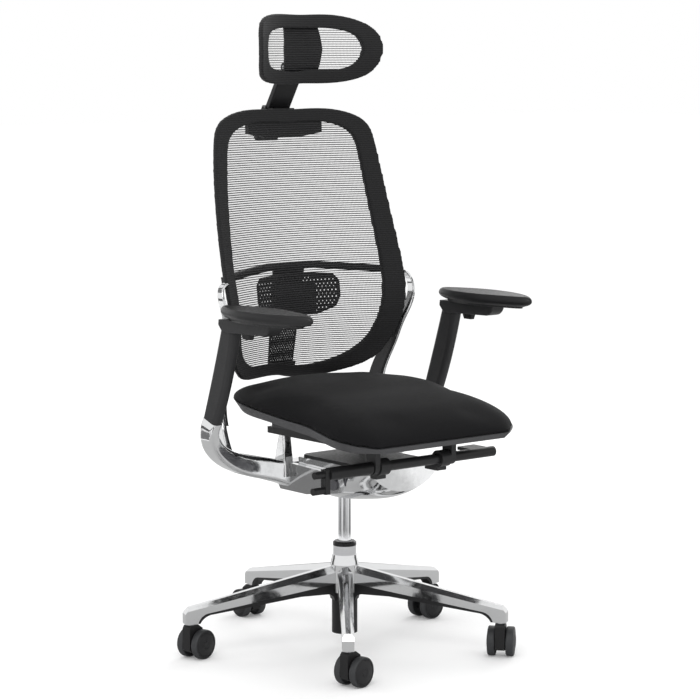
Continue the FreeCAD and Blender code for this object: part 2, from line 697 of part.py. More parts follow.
def make_yoke_arm():
    """The arm that sweeps from the cross-beam out to the foot of the post."""
    y, x = d.yoke_y.value, d.arm_x.value
    root = d.housing_half.value + 8
    foot = post_point(0)
    forward = V(0, 1, 0)
    axis = lean()
    deep = d.post_deep.value / 2
    return skin([
        rounded(V(root, y - 4, 384), forward, V(0, 0, 1), 24, 28, 9),
        rounded(V(x * 0.6, y + 2, 408), forward, V(-0.25, 0, 1), 25, 23, 9),
        rounded(V(x * 0.85, y + 2, 436), forward, V(-0.55, 0, 1), 25, 18, 9),
        rounded(V(x - 7, y - 6, 470), forward, V(-1.6, 0, 1), deep + 1, 14, 9),
        rounded(foot - axis * 0.2, V(0, axis.z, -axis.y), V(-1, 0, 0), deep, d.post_thick.value / 2, 9)])


def upright_path():
    """The upright from the yoke to the widest point of the ring: middle, half thickness, half depth."""
    low, wide, near = d.blade_low_x.value, d.blade_x.value, d.blade_near.value
    back, top = d.blade_back.value, d.blade_top.value
    return [(V(low + 16, d.yoke_y.value + 20, 440), 8, 18),
            (V(low + 7, back - 14, 495), 6.5, 21),
            (V(low, back, 560), 5.5, 22),
            (V(low + 6, back - 23, 620), 5, 20),
            (V(low + 12, back - 42, 660), 4.5, 18),
            (V(low + 19, near + 14, 700), 4, 15),
            (V(wide - 6, near, top - 66), 3.5, 12)]


def make_blade():
    """The polished upright that rises from the yoke and hooks round the side of the ring."""
    wide, near, top = d.blade_x.value, d.blade_near.value, d.blade_top.value
    wires = [rounded(middle, V(1, 0, 0), V(0, 1, 0), thick, deep, thick - 1)
             for middle, thick, deep in upright_path()]
    wires.append(rounded(V(wide, near + 9, top - 16), V(1, 0, 0.3), V(0, 1, 0), 3, 9, 2))
    wires.append(rounded(V(d.back_half.value - 1, near + 12, top), V(1, 0, 0.9), V(0, 1, 0), 3, 8, 2))
    return skin(wires)


def make_liner():
    """The moulded liner on the inner face of the right upright, thinner at its top."""
    wires = []
    half = d.liner_thick.value / 2
    for middle, thick, deep in upright_path()[1:6]:
        inward = V(thick + half + d.liner_gap.value, 0, 0)
        wires.append(rounded(middle - inward, V(1, 0, 0), V(0, 1, 0), half, deep - 1, half - 0.4))
        half -= 0.2
    return skin(wires)


def make_yoke():
    half = d.housing_half.value + d.cheek_gap.value
    thick = d.cheek_thick.value
    y, z = d.tilt_y.value, d.tilt_z.value
    front, low, top = d.beam_front.value, d.beam_low.value, d.beam_top.value
    back = front + d.beam_depth.value
    cheek = polygon([V(half, *point) for point in (
        (y - 14, z + 12), (y - 20, z - 4), (y - 12, z - 18), (0, low), (back - 10, low),
        (back, low + 14), (back, top), (y, z + 21))]).extrude(V(thick, 0, 0))
    beam = Part.makeBox(2 * half + 2, back - front, top - low, V(-half - 1, front, low))
    arm = make_yoke_arm()
    blade = make_blade()
    right = [cheek, arm, blade]
    left = [mirrored(piece) for piece in right]
    yoke = beam.multiFuse(right + left)
    axle = Part.makeCylinder(d.tilt_axle_radius.value + d.running_gap.value, 4 * half,
                             V(-2 * half, y, z), V(1, 0, 0))
    ring = back_slab(0, d.frame_thick.value).common(through(back_outline(0)))
    return yoke.cut(axle).cut(ring).removeSplitter()


def make_struts(yoke):
    """Two polished struts that carry the back of the seat."""
    top = d.rail_low.value - d.slide_gap.value
    y = d.strut_y.value
    low = d.beam_top.value - 30
    x = d.rail_x.value
    shape = skin([rounded(V(x, y + 6, low), V(1, 0, 0), V(0, 1, 0), 14, 24, 4),
                  rounded(V(x, y, top), V(1, 0, 0), V(0, 1, 0), 11, 9, 4)], True)
    shape = shape.cut(yoke)
    return Part.makeCompound([shape, mirrored(shape)])


def build_yoke():
    yoke = make_yoke()
    keep("yoke", feature("yoke", yoke))
    liner = make_liner()
    keep("upright_liner_left", feature("upright_liner_left", liner))
    keep("upright_liner_right", feature("upright_liner_right", mirrored(liner)))
    keep("seat_struts", feature("seat_struts", make_struts(yoke)))


# ---------------------------------------------------------------- arms


def post_frame():
    """Across, along-the-depth and up directions of the leaning post."""
    axis = lean()
    return V(1, 0, 0), V(0, axis.z, -axis.y), axis


def make_arm_stem():
    across, deep, axis = post_frame()
    start, end = post_point(-0.2), post_point(d.post_length.value - 60)
    halves = (d.stem_thick.value / 2, d.stem_deep.value / 2, 2)
    return skin([rounded(start, across, deep, *halves), rounded(end, across, deep, *halves)], True)


def make_arm_shell():
    across, deep, axis = post_frame()
    thick, depth = d.post_thick.value / 2, d.post_deep.value / 2
    gap = d.slide_gap.value
    top = d.arm_top.value
    post = skin([rounded(post_point(gap), across, deep, thick, depth, thick - 2),
                 rounded(post_point(d.post_length.value * 0.8), across, deep, thick, depth + 2, thick - 2),
                 rounded(V(d.arm_x.value, post_point(d.post_length.value).y, top - 9),
                         V(1, 0, 0), V(0, 1, 0), thick + 2, depth, thick - 1)])
    low = top - d.bracket_thick.value
    back = post_point(d.post_length.value).y + depth
    front = d.bracket_front.value
    x = d.arm_x.value
    side = Part.Face(Part.Wire([
        Part.LineSegment(V(x, back, top), V(x, back + 2, top - 14)).toShape(),
        Part.LineSegment(V(x, back + 2, top - 14), V(x, back - 10, low)).toShape(),
        Part.LineSegment(V(x, back - 10, low), V(x, front + 24, low + 4)).toShape(),
        Part.Arc(V(x, front + 24, low + 4), V(x, front + 7, low + 11), V(x, front, top)).toShape(),
        Part.LineSegment(V(x, front, top), V(x, back, top)).toShape()]))
    half = thick + 6
    side.translate(V(-half, 0, 0))
    bracket = side.extrude(V(2 * half, 0, 0))
    edges = [edge for edge in bracket.Edges if edge.BoundBox.XLength < 0.1 and edge.BoundBox.ZMax < top - 1]
    bracket = bracket.makeFillet(4, edges)
    shell = post.fuse(bracket).removeSplitter()
    halves = (d.stem_thick.value / 2 + gap, d.stem_deep.value / 2 + gap, 2)
    hole = skin([rounded(post_point(-1), across, deep, *halves),
                 rounded(post_point(d.post_length.value - 58), across, deep, *halves)], True)
    button = button_shape(gap, d.button_travel.value + gap)
    return shell.cut(hole).cut(button)


def button_shape(gap, travel=0):
    """The height button under the bracket: a tapered key below, a straight shank inside."""
    low = d.arm_top.value - d.bracket_thick.value + 2
    x, y = d.arm_x.value, d.button_y.value
    wide, long = d.button_half_wide.value + gap, d.button_half_long.value + gap

    def level(z, draw_in):
        return rounded(V(x, y, z), V(1, 0, 0), V(0, 1, 0), wide - draw_in, long - draw_in, 3)

    key = skin([level(low - 12, 2.5), level(low, 0)], True)
    shank = skin([level(low, 0), level(low + 7 + travel, 0)], True)
    return key.fuse(shank).removeSplitter()


def pad_plan(share, z):
    """Plan of the arm pad at one height, drawn in by a share of its size about its middle."""
    x, front, back = d.arm_x.value, d.pad_front.value, d.pad_back.value
    half, middle = d.pad_half.value, (front + back) / 2
    plan = Part.BSplineCurve()
    plan.interpolate([V(x + (across - x) * share, middle + (y - middle) * share, z) for across, y in (
        (x, front), (x + half * 0.72, front + 70), (x + half, middle), (x + half * 0.66, back - 48),
        (x - 4, back), (x - half * 0.8, back - 60), (x - half, middle - 10),
        (x - half * 0.7, front + 62))], PeriodicFlag=True)
    return Part.Wire([plan.toShape()])


def make_arm_pad():
    """Boat-shaped pad with pointed ends, a soft top edge and a flat underside."""
    low, thick = d.arm_top.value + d.slide_gap.value, d.pad_thick.value
    return skin([pad_plan(share, low + thick * rise) for share, rise in (
        (0.80, 0), (0.93, 0.3), (1.0, 0.66), (0.975, 0.88), (0.88, 1.0))])


def build_arms():
    stem = make_arm_stem()
    keep("arm_stems", feature("arm_stems", Part.makeCompound([stem, mirrored(stem)])))
    shell, button, pad = make_arm_shell(), button_shape(0), make_arm_pad()
    for side, turn in (("left", lambda shape: shape), ("right", mirrored)):
        keep("arm_shell_" + side, feature("arm_shell_" + side, turn(shell)))
        keep("arm_button_" + side, feature("arm_button_" + side, turn(button)))
        keep("arm_pad_" + side, feature("arm_pad_" + side, turn(pad)))


# ---------------------------------------------------------------- back


def back_y(z):
    """How far back the middle of the back lies at a height: closest at the waist."""
    low, waist, top = d.back_low.value, d.waist_z.value, d.back_top.value
    if z < waist:
        share = (waist - z) / (waist - low)
        return d.back_y_waist.value + (d.back_y_low.value - d.back_y_waist.value) * share ** 1.7
    share = (z - waist) / (top - waist)
    return d.back_y_waist.value + (d.back_y_top.value - d.back_y_waist.value) * math.sin(share * 1.571)


def back_wrap(z):
    """How far forward the sides of the back wrap at its half width."""
    share = (z - d.back_low.value) / (d.back_top.value - d.back_low.value)
    curl = max(0.0, 1 - share / 0.21)
    return 104 - 62 * share + 100 * curl ** 2


def crescent(z, low, high, half, middle_y, wrap):
    """A closed strip in plan: two arcs bent forward at the sides, joined at the ends."""
    a, b, c = V(-half, middle_y - wrap + low, z), V(0, middle_y + low, z), V(half, middle_y - wrap + low, z)
    rise = V(0, high - low, 0)
    return Part.Wire([Part.Arc(a, b, c).toShape(), Part.LineSegment(c, c + rise).toShape(),
                      Part.Arc(c + rise, b + rise, a + rise).toShape(),
                      Part.LineSegment(a + rise, a).toShape()])


def back_slab(low, high):
    """A curved sheet that follows the back, from one depth behind its front face to another."""
    bottom, top = d.back_low.value - 10, d.back_top.value + 10
    wires = []
    steps = 12
    half = d.back_half.value + 8
    for step in range(steps + 1):
        z = bottom + (top - bottom) * step / steps
        wires.append(crescent(z, low, high, half, back_y(z), back_wrap(z)))
    return skin(wires)


def closed_outline(points):
    """A smooth closed outline in front view from the points of its right half, bottom to top."""
    curve = Part.BSplineCurve()
    left = [(-x, z) for x, z in reversed(points) if x > 0.1]
    curve.interpolate([V(x, -400, z) for x, z in points + left], PeriodicFlag=True)
    return Part.Face(Part.Wire([curve.toShape()]))


def back_outline(inset):
    """Front view of the back: wide at the arms, narrowing upward, with round corners."""
    low, top, half = d.back_low.value + inset * 0.68, d.back_top.value - inset * 0.68, d.back_half.value - inset
    full = top - low
    return closed_outline([(0, low), (half * 0.56, low + full * 0.012), (half * 0.8, low + full * 0.07),
                           (half * 0.96, low + full * 0.22), (half, low + full * 0.36),
                           (half * 0.972, low + full * 0.6), (half * 0.9, low + full * 0.86),
                           (half * 0.83, low + full * 0.945), (half * 0.66, low + full * 0.985), (0, top)])


def through(face, depth=1200):
    """An outline in front view pushed straight through the chair."""
    return face.extrude(V(0, depth, 0))


def strip(points):
    """A straight-sided outline in front view."""
    return through(polygon([V(x, -400, z) for x, z in points]))


def symmetric(points):
    """A closed outline from the corners of its right half, bottom to top."""
    return points + [(-x, z) for x, z in reversed(points)]


def build_back():
    outer = through(back_outline(0))
    inner = through(back_outline(d.rail_face.value))
    thick = d.frame_thick.value
    ring = back_slab(0, thick).common(outer.cut(inner))
    keep("back_frame", feature("back_frame", ring))
    near = d.mesh_set.value
    sheet_solid = back_slab(near, near + d.mesh_thick.value).common(inner)
    keep("back_mesh", feature("back_mesh", sheet_solid))
    lumbar = make_lumbar_frame()
    keep("lumbar_frame", feature("lumbar_frame", lumbar))
    keep("lumbar_pad", feature("lumbar_pad", make_lumbar_pad()))


def spine_line():
    """Lower and upper ends of the straight bar behind the mesh, and its direction."""
    thick = d.frame_thick.value
    low = d.back_low.value + 18
    high = d.lumbar_z.value + 16
    foot = V(0, back_y(low) + thick + 1, low)
    head = V(0, back_y(high) + thick + d.lumbar_set.value + 3, high)
    return foot, head


def make_lumbar_frame():
    """Arched rail behind the mesh, and the spine that runs from it down to the lower rail."""
    z, half, thick = d.lumbar_z.value, d.back_half.value, d.frame_thick.value
    near = thick + d.lumbar_set.value
    arch = strip([(half - 14, z - 12), (half - 14, z + 4), (60, z + 20), (-60, z + 20),
                  (-half + 14, z + 4), (-half + 14, z - 12), (-60, z + 4), (60, z + 4)])
    rail = back_slab(near, near + 8).common(arch)
    ends = strip([(half - 36, z - 40), (half - 36, z + 40), (half, z + 40), (half, z - 40)])
    feet = back_slab(thick, near + 8).common(arch).common(ends.fuse(mirrored(ends)))
    foot, head = spine_line()
    depth = V(0, d.lumbar_thick.value, 0)
    low, high = d.spine_half_low.value, d.spine_half_high.value
    spine = polygon([foot + V(-low, 0, 0), foot + V(low, 0, 0), head + V(high, 0, 0),
                     head + V(-high, 0, 0)]).extrude(depth)
    toe = back_slab(thick, thick + 9).common(strip([
        (-low, foot.z - 8), (low, foot.z - 8), (low, foot.z + 14), (-low, foot.z + 14)]))
    frame = rail.multiFuse([feet, spine, toe])
    return frame.cut(back_slab(-20, thick)).removeSplitter()


def make_lumbar_pad():
    """Winged plate behind the mesh, on a shoe that slides along the spine."""
    z = d.lumbar_z.value
    half = d.lumbar_half.value
    near = d.mesh_set.value + d.mesh_thick.value + 8
    wings = symmetric([(60, z - 98), (half - 10, z - 82), (half, z - 60), (half, z - 24),
                       (half - 14, z - 8), (40, z - 4)])
    pad = back_slab(near, near + d.lumbar_thick.value).common(strip(wings))
    foot, head = spine_line()
    back = polygon([foot - V(30, d.slide_gap.value, 0), foot + V(30, -d.slide_gap.value, 0),
                    head + V(30, -d.slide_gap.value, 0), head - V(30, d.slide_gap.value, 0)])
    shoe = back.extrude(V(0, -60, 0)).common(strip([(-30, z - 70), (30, z - 70), (30, z - 30),
                                                   (-30, z - 30)]))
    shoe = shoe.cut(back_slab(-80, near))
    return pad.fuse(shoe).removeSplitter()


# ---------------------------------------------------------------- headrest


def neck_axis():
    angle = math.radians(d.neck_lean.value)
    return V(0, -math.sin(angle), math.cos(angle))


def neck_point(along):
    return V(0, d.neck_y.value, d.neck_z.value) + neck_axis() * along


def neck_section(along, grow):
    axis = neck_axis()
    return rounded(neck_point(along), V(1, 0, 0), V(0, axis.z, -axis.y),
                   d.neck_half.value + grow, d.neck_thick.value / 2 + grow, 3)


def make_neck():
    bar = skin([neck_section(-d.neck_down.value, 0), neck_section(d.neck_up.value - 12, 0)], True)
    top = neck_point(d.neck_up.value)
    eye = Part.makeCylinder(9, 30, V(-15, top.y, top.z), V(1, 0, 0))
    web = skin([neck_section(d.neck_up.value - 24, -2), neck_section(d.neck_up.value - 2, -3)], True)
    web = web.common(Part.makeBox(30, 800, 2000, V(-15, -300, 0)))
    hole = Part.makeCylinder(d.pin_radius.value + d.running_gap.value, 60, V(-30, top.y, top.z), V(1, 0, 0))
    return bar.multiFuse([eye, web]).cut(hole).removeSplitter()


def make_headrest_bracket():
    """Foot behind the top of the back frame, with the socket that the neck slides in."""
    thick = d.frame_thick.value
    top = d.back_top.value
    foot = back_slab(thick, thick + 12).common(strip([
        (-102, top - 52), (-102, top - 28), (-40, top - 12), (40, top - 12), (102, top - 28),
        (102, top - 52), (40, top - 62), (-40, top - 62)]))
    axis = neck_axis()
    socket = skin([neck_section(-d.neck_down.value + 14, 5), neck_section(-58, 5)], True)
    hole = skin([neck_section(-d.neck_down.value - 20, d.slide_gap.value),
                 neck_section(0, d.slide_gap.value)], True)
    middle = neck_point(-82)
    web = Part.makeBox(60, 60, 40, V(-30, middle.y - 56, middle.z - 20))
    frame = back_slab(-60, thick)
    return foot.multiFuse([socket, web]).cut(hole).cut(frame).removeSplitter()


def head_y(z):
    """The headrest bulges forward at mid height."""
    middle = (d.head_low.value + d.head_top.value) / 2
    share = (z - middle) / (d.head_top.value - middle)
    return d.head_y.value - d.head_bulge.value * (1 - share * share)


def head_slab(low, high):
    wires = []
    steps = 4
    bottom, top = d.head_low.value - 6, d.head_top.value + 6
    for step in range(steps + 1):
        z = bottom + (top - bottom) * step / steps
        wires.append(crescent(z, low, high, d.head_half.value + 4, head_y(z), d.head_wrap.value))
    return skin(wires)


def head_outline(inset):
    low, top = d.head_low.value + inset * 0.85, d.head_top.value - inset * 0.85
    half = d.head_half.value - inset
    full = top - low
    return closed_outline([(0, low), (half * 0.6, low + full * 0.02), (half * 0.9, low + full * 0.16),
                           (half, low + full * 0.46), (half * 0.93, low + full * 0.8),
                           (half * 0.66, low + full * 0.97), (0, top)])


def build_headrest():
    keep("headrest_bracket", feature("headrest_bracket", make_headrest_bracket()))
    keep("headrest_neck", feature("headrest_neck", make_neck()))
    pivot = neck_point(d.neck_up.value)
    pin = rod("headrest_pin", d.pin_radius, 52, -26, pivot.y, pivot.z, "x")
    keep("headrest_pin", pin)
    thick = d.head_thick.value
    outer = through(head_outline(0))
    inner = through(head_outline(d.head_face.value))
    keep("headrest_frame", feature("headrest_frame", head_slab(0, thick).common(outer.cut(inner))))
    keep("headrest_mesh", feature("headrest_mesh", head_slab(6, 8).common(inner)))
    middle = (d.head_low.value + d.head_top.value) / 2
    plate = head_slab(thick, thick + 5).common(strip([
        (-44, d.head_low.value + 6), (-52, middle), (-44, d.head_top.value - 6),
        (44, d.head_top.value - 6), (52, middle), (44, d.head_low.value + 6)]))
    ears = []
    for x in (-25.5, 16.5):
        lug = Part.makeBox(9, pivot.y - head_y(pivot.z) - thick - 2, 20,
                           V(x, head_y(pivot.z) + thick + 2, pivot.z - 10))
        eye = Part.makeCylinder(10, 9, V(x, pivot.y, pivot.z), V(1, 0, 0))
        ears += [lug, eye]
    hole = Part.makeCylinder(d.pin_radius.value, 80, V(-40, pivot.y, pivot.z), V(1, 0, 0))
    plate = plate.multiFuse(ears).cut(hole).cut(head_slab(0, thick)).removeSplitter()
    keep("headrest_plate", feature("headrest_plate", plate))


# ---------------------------------------------------------------- the whole chair


def check_and_write():
    """Stop on any failed object, then write each sub-part to its own file."""
    doc.recompute()
    for obj in doc.Objects:
        if "Invalid" in obj.State or "Error" in obj.State:
            raise RuntimeError("%s failed: %s" % (obj.Label, obj.State))
    for name, obj in parts.items():
        if obj.Shape.isNull() or not obj.Shape.isValid() or not obj.Shape.Solids:
            raise RuntimeError("%s has no valid solid" % name)
    os.makedirs("parts", exist_ok=True)
    for name, obj in parts.items():
        obj.Shape.exportStep("parts/%s.step" % name)
    print("%d sub-parts written" % len(parts))


build_base()
for leg in range(LEGS):
    build_caster(leg)
build_lift()
build_mechanism()
build_levers()
build_seat()
build_yoke()
build_arms()
build_back()
build_headrest()
check_and_write()
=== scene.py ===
"""Looks of the swivel office chair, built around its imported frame."""
import json
import math

import bpy
from mathutils import Matrix, Vector


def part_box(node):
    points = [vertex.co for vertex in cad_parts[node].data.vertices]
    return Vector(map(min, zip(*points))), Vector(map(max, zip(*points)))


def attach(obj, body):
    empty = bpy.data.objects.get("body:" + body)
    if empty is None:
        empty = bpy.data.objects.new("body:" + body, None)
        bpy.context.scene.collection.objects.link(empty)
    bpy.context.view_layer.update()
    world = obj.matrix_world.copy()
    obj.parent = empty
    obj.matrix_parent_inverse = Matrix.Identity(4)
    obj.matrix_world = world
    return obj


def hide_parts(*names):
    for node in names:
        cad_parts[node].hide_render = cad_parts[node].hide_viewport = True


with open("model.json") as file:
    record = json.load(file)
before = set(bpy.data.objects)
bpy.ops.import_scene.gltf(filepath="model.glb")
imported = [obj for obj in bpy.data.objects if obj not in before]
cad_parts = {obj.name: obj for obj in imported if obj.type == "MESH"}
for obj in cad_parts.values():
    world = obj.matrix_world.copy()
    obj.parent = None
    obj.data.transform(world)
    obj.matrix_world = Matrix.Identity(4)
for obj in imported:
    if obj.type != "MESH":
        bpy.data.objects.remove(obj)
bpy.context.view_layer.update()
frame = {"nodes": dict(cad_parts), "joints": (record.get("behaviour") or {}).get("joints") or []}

bl_info = {
    "name": "Swivel Office Chair",
    "version": (1, 0, 0),
    "blender": (4, 5, 0),
    "location": "3D View > Sidebar > Chair",
    "description": "Builds the finishes and soft pieces of a swivel office chair",
    "category": "Object",
}

MM = 0.001
JOINTS = {joint["name"]: joint for joint in frame["joints"]}
SIDES = ("left", "right")
CASTERS = range(1, 6)

ONE_THIRD = 0.333
GRID_PLANE = 0.01 * MM     # a grid point nearer than this to its plane found no sheet
THREAD_STEP = 9 * MM       # length of one straight run of a thread
SEAM_BAND = 12 * MM        # depth of the strips in which the seat's seam height is found
SEAM_HOLD = 6 * MM         # foam lower than this above the seam is held
CROWN_RISE = 22 * MM       # height above the seam at which the crown is smoothed in full
SWELL_STEPS = 20
SWELL_PRESSURE = 4.0


# ---------------------------------------------------------------- sizes and colours

class ChairSizes(bpy.types.PropertyGroup):
    """Sizes of the fabric, threads and stage."""
    seat_swell: bpy.props.FloatProperty(
        name="Seat swell", description="Furthest that the seat foam may swell out",
        default=5 * MM, min=0.0, max=0.03, subtype="DISTANCE", unit="LENGTH")
    seat_voxel: bpy.props.FloatProperty(
        name="Seat grid", description="Size of the cells that the seat foam is divided into",
        default=5 * MM, min=0.002, max=0.02, subtype="DISTANCE", unit="LENGTH")
    strand_pitch: bpy.props.FloatProperty(
        name="Strand pitch", description="Height from one cross strand of the mesh to the next",
        default=4.8 * MM, min=0.002, max=0.02, subtype="DISTANCE", unit="LENGTH")
    strand_thick: bpy.props.FloatProperty(
        name="Strand thickness", description="Thickness of a cross strand of the mesh",
        default=2.2 * MM, min=0.0002, max=0.004, subtype="DISTANCE", unit="LENGTH")
    warp_pitch: bpy.props.FloatProperty(
        name="Warp pitch", description="Distance between the fine upright threads of the mesh",
        default=3.0 * MM, min=0.001, max=0.02, subtype="DISTANCE", unit="LENGTH")
    warp_thick: bpy.props.FloatProperty(
        name="Warp thickness", description="Thickness of a fine upright thread",
        default=0.5 * MM, min=0.0001, max=0.002, subtype="DISTANCE", unit="LENGTH")
    floor_side: bpy.props.FloatProperty(
        name="Floor side", description="Side of the square studio floor",
        default=60.0, min=4.0, max=200.0, subtype="DISTANCE", unit="LENGTH")


class ChairColours(bpy.types.PropertyGroup):
    """Colours of the finishes."""
    fabric: bpy.props.FloatVectorProperty(
        name="Seat fabric", description="Woven cover of the seat",
        default=(0.0045, 0.0045, 0.005), min=0.0, max=1.0, size=3, subtype="COLOR")
    knit: bpy.props.FloatVectorProperty(
        name="Knitted border", description="Border of the back and headrest",
        default=(0.011, 0.011, 0.0115), min=0.0, max=1.0, size=3, subtype="COLOR")
    plastic: bpy.props.FloatVectorProperty(
        name="Moulded plastic", description="Arm shells, seat pan and brackets",
        default=(0.02, 0.02, 0.021), min=0.0, max=1.0, size=3, subtype="COLOR")
    metal: bpy.props.FloatVectorProperty(
        name="Polished aluminium", description="Base, yoke and mechanism housing",
        default=(0.8, 0.805, 0.81), min=0.0, max=1.0, size=3, subtype="COLOR")
    floor: bpy.props.FloatVectorProperty(
        name="Floor", description="Studio floor",
        default=(0.93, 0.93, 0.93), min=0.0, max=1.0, size=3, subtype="COLOR")


def sizes():
    return bpy.context.scene.chair_sizes


def colours():
    return bpy.context.scene.chair_colours


# ---------------------------------------------------------------- finishes

class Finish:
    """One material: a principled surface and the nodes that vary it."""

    def __init__(self, name, colour, roughness, **more):
        self.material = bpy.data.materials.new(name)
        self.material.use_nodes = True
        self.tree = self.material.node_tree
        self.surface = self.tree.nodes["Principled BSDF"]
        self.colour = tuple(colour) + (1.0,)
        self.surface.inputs["Base Color"].default_value = self.colour
        self.surface.inputs["Roughness"].default_value = roughness
        for socket, value in more.items():
            self.surface.inputs[socket.replace("_", " ")].default_value = value
        self.place = self.node("ShaderNodeTexCoord").outputs["Object"]
        self.bump = None

    def node(self, kind, **settings):
        made = self.tree.nodes.new(kind)
        for key, value in settings.items():
            setattr(made, key, value)
        return made

    def link(self, source, target):
        self.tree.links.new(source, target)

    def noise(self, pitch, detail=3.0, stretch=(1, 1, 1)):
        """Cloudy variation with blotches about one pitch across."""
        mapping = self.node("ShaderNodeMapping")
        mapping.inputs["Scale"].default_value = stretch
        texture = self.node("ShaderNodeTexNoise")
        texture.inputs["Scale"].default_value = 1.0 / pitch
        texture.inputs["Detail"].default_value = detail
        self.link(self.place, mapping.inputs["Vector"])
        self.link(mapping.outputs["Vector"], texture.inputs["Vector"])
        return texture.outputs["Fac"]

    def bands(self, axis, pitch, wobble=0.0):
        """Even ridges across an axis, one each pitch."""
        texture = self.node("ShaderNodeTexWave", wave_type="BANDS", bands_direction=axis)
        texture.inputs["Scale"].default_value = math.pi / 10 / pitch
        texture.inputs["Distortion"].default_value = wobble
        texture.inputs["Detail Scale"].default_value = 2.0
        self.link(self.place, texture.inputs["Vector"])
        return texture.outputs["Fac"]

    def maths(self, operation, first, second):
        made = self.node("ShaderNodeMath", operation=operation)
        for socket, value in zip(made.inputs, (first, second)):
            if isinstance(value, (int, float)):
                socket.default_value = value
            else:
                self.link(value, socket)
        return made.outputs["Value"]

    def weave(self, pitch, wobble=0.0):
        """Crossed ridges that show on faces of every direction."""
        crossed = self.maths("ADD", self.bands("X", pitch, wobble), self.bands("Y", pitch, wobble))
        crossed = self.maths("ADD", crossed, self.bands("Z", pitch, wobble))
        return self.maths("MULTIPLY", crossed, ONE_THIRD)

    def ramp(self, factor, low, high):
        """Spreads a factor to the range from low to high."""
        made = self.node("ShaderNodeMapRange")
        made.inputs["From Min"].default_value = 0.3
        made.inputs["From Max"].default_value = 0.7
        made.inputs["To Min"].default_value = low
        made.inputs["To Max"].default_value = high
        self.link(factor, made.inputs["Value"])
        return made.outputs["Result"]

    def tint(self, factor, other):
        """Mixes the colour towards another by a factor."""
        mix = self.node("ShaderNodeMix", data_type="RGBA")
        for socket in mix.inputs:
            if socket.name in ("A", "B") and socket.type == "RGBA":
                socket.default_value = self.colour if socket.name == "A" else tuple(other) + (1.0,)
        self.link(factor, mix.inputs["Factor"])
        out = [socket for socket in mix.outputs if socket.type == "RGBA"][0]
        self.link(out, self.surface.inputs["Base Color"])
        return self

    def rough(self, factor, low, high):
        self.link(self.ramp(factor, low, high), self.surface.inputs["Roughness"])
        return self

    def relief(self, height, depth, strength=1.0):
        """Bump of a real depth; later reliefs lie on the earlier ones."""
        bump = self.node("ShaderNodeBump")
        bump.inputs["Strength"].default_value = strength
        bump.inputs["Distance"].default_value = depth
        self.link(height, bump.inputs["Height"])
        if self.bump:
            self.link(self.bump.outputs["Normal"], bump.inputs["Normal"])
        self.link(bump.outputs["Normal"], self.surface.inputs["Normal"])
        self.bump = bump
        return self


def lighter(colour, times):
    return tuple(min(1.0, channel * times) for channel in colour)


def polished_metal(name, colour, roughness=0.07):
    made = Finish(name, colour, roughness, Metallic=1.0)
    made.tint(made.noise(60 * MM, 2.0), lighter(colour, 0.93))
    made.rough(made.noise(9 * MM, 5.0), roughness * 0.6, roughness * 1.5)
    return made.relief(made.noise(38 * MM, 1.0), 0.25 * MM, 0.3)


def moulded_plastic(name, colour, roughness=0.42, grain=0.7):
    made = Finish(name, colour, roughness, Specular_IOR_Level=0.32)
    made.tint(made.noise(30 * MM, 4.0), lighter(colour, 1.18))
    made.rough(made.noise(6 * MM, 6.0), roughness - 0.05, roughness + 0.08)
    return made.relief(made.noise(grain * MM, 2.0), 0.05 * MM, 0.5)


def woven_fabric(name, colour, pitch):
    made = Finish(name, colour, 0.85, Specular_IOR_Level=0.12,
                  Sheen_Weight=0.06, Sheen_Roughness=0.4)
    weave = made.weave(pitch, 1.2)
    made.tint(weave, lighter(colour, 1.9))
    made.relief(weave, 0.35 * MM, 0.6)
    return made.relief(made.noise(14 * MM, 3.0), 0.5 * MM, 0.25)


def knitted_fabric(name, colour, pitch):
    made = Finish(name, colour, 0.75, Specular_IOR_Level=0.2,
                  Sheen_Weight=0.06, Sheen_Roughness=0.5)
    rows = made.bands("Z", pitch, 0.4)
    made.tint(rows, lighter(colour, 1.7))
    made.relief(rows, 0.5 * MM, 0.7)
    return made.relief(made.weave(pitch * 0.3, 0.8), 0.15 * MM, 0.5)


def ground_steel(name, colour, roughness=0.22):
    made = Finish(name, colour, roughness, Metallic=1.0)
    made.rough(made.noise(0.8 * MM, 3.0, (1, 1, 40)), roughness * 0.7, roughness * 1.3)
    return made.relief(made.noise(0.7 * MM, 2.0, (1, 1, 30)), 0.02 * MM, 0.3)


FINISHES = {}


